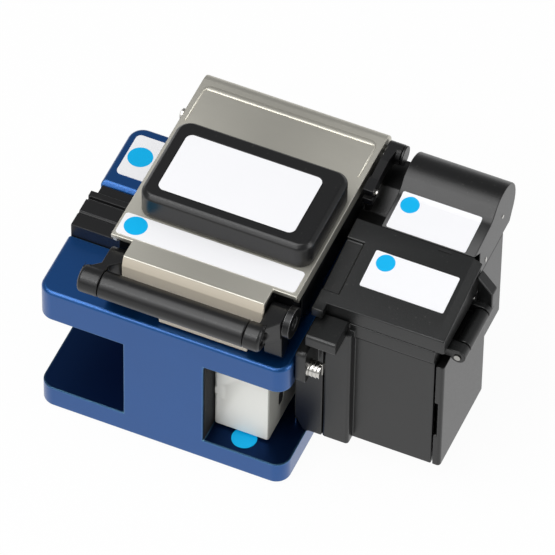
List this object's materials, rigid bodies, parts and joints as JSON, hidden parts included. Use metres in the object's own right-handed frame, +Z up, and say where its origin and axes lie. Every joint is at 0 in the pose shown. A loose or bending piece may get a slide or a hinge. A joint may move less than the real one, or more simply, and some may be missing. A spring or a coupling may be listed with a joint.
{
  "type": "fibre cleaver",
  "caption": "Hand-held optical fibre cleaver: clamp arm over a sliding blade on an I-section base, with a side off-cut collector.",
  "frame": {"origin": "middle of the rubber pad's underside, which rests on the bench", "axes": "+Z up, +X along the fibre towards the off-cut collector, +Y to the rear, away from the user"},
  "size_m": [0.0951, 0.0658, 0.0639],
  "materials": {
    "black_anodised": "black anodised, satin",
    "black_casting": "black satin paint on casting",
    "black_plastic": "black, fine texture",
    "black_screws": "black oxide",
    "blade_carbide": "lapped carbide",
    "blue_anodised": "blue anodised, fine blasted",
    "bronze": "sintered bronze",
    "brushed_sheet": "fine brushed along the fibre",
    "clamp_rubber": "nitrile, matt",
    "collector_plastic": "dark grey moulded, fine texture",
    "gear_nylon": "natural nylon",
    "ground_steel": "ground",
    "label_film": "white film, bare with a plain blue dot",
    "magnet_plating": "nickel plated magnet",
    "rubber_pad": "black anti-slip sheet",
    "slider_plastic": "light grey, satin",
    "steel_screws": "nickel plated"
  },
  "bodies": {
    "base": {"base_frame": "blue_anodised", "base_pad": "rubber_pad", "adapter_plate": "black_anodised", "adapter_screws": "steel_screws", "lower_clamp_left": "black_anodised", "lower_clamp_right": "black_anodised", "lower_clamp_pads": "clamp_rubber", "slide_rail": "ground_steel", "rail_screws": "steel_screws", "hinge_block": "black_anodised", "hinge_screws": "steel_screws", "hinge_pin": "ground_steel", "hinge_pin_cap": "black_casting", "deck_catch_plate": "ground_steel", "collector_bracket": "collector_plastic", "thumb_screw": "steel_screws", "thumb_washer": "steel_screws", "collector_housing": "collector_plastic", "bracket_screws": "steel_screws", "lid_pin": "ground_steel", "door_pin": "ground_steel", "roller_frame": "ground_steel", "gear_hood": "collector_plastic", "deck_label": "label_film", "slider_label": "label_film", "hood_label": "label_film"},
    "arm": {"arm_body": "black_casting", "hinge_bushes": "bronze", "upper_clamp_pads": "clamp_rubber", "anvil": "ground_steel", "arm_catch_magnet": "magnet_plating", "arm_cover": "brushed_sheet", "knob": "black_plastic", "knob_label": "label_film", "cover_label": "label_film", "cover_rivet": "steel_screws", "bar_pivot_screws": "black_screws", "feed_lever": "black_casting", "lever_pin": "steel_screws"},
    "pull_handle": {"pull_bar": "black_casting", "bar_sleeve": "black_plastic"},
    "slider": {"slider_block": "slider_plastic", "blade_carriage": "ground_steel", "blade_axle": "ground_steel"},
    "blade": {"blade_wheel": "blade_carbide"},
    "lid": {"collector_lid": "collector_plastic", "lid_label": "label_film"},
    "door": {"bin_door": "collector_plastic"},
    "drive_roller": {"drive_roller_shaft": "ground_steel", "drive_roller_sleeve": "clamp_rubber", "drive_gear": "gear_nylon"},
    "pinch_roller": {"pinch_roller_shaft": "ground_steel", "pinch_roller_sleeve": "clamp_rubber", "pinch_gear": "gear_nylon"}
  },
  "joints": [
    {"name": "arm_hinge", "type": "hinge", "parent": "base", "child": "arm", "pos_m": [0.0068, 0.0307, 0.054], "axis": [-1, 0, 0], "range_deg": [0, 60]},
    {"name": "pull_bar_pivot", "type": "hinge", "parent": "arm", "child": "pull_handle", "pos_m": [0.0068, -0.0213, 0.0513], "axis": [-1, 0, 0], "range_deg": [0, 25]},
    {"name": "slider_slide", "type": "slide", "parent": "base", "child": "slider", "axis": [0, 1, 0], "range_m": [0, 0.017]},
    {"name": "blade_spin", "type": "hinge", "parent": "slider", "child": "blade", "pos_m": [0.017, -0.0133, 0.03575], "axis": [1, 0, 0], "continuous": true},
    {"name": "lid_hinge", "type": "hinge", "parent": "base", "child": "lid", "pos_m": [0.047, 0.0075, 0.0516], "axis": [-1, 0, 0], "range_deg": [0, 75]},
    {"name": "door_hinge", "type": "hinge", "parent": "base", "child": "door", "pos_m": [0.0633, -0.0014, 0.0438], "axis": [0, -1, 0], "range_deg": [0, 90]},
    {"name": "drive_roller_spin", "type": "hinge", "parent": "base", "child": "drive_roller", "pos_m": [0.046, -0.0013, 0.04025], "axis": [0, 1, 0], "continuous": true},
    {"name": "pinch_roller_spin", "type": "hinge", "parent": "lid", "child": "pinch_roller", "pos_m": [0.046, -0.0013, 0.04625], "axis": [0, 1, 0], "continuous": true}
  ],
  "couplings": [
    {"joint": "pinch_roller_spin", "follows": "drive_roller_spin", "ratio": -1}
  ]
}
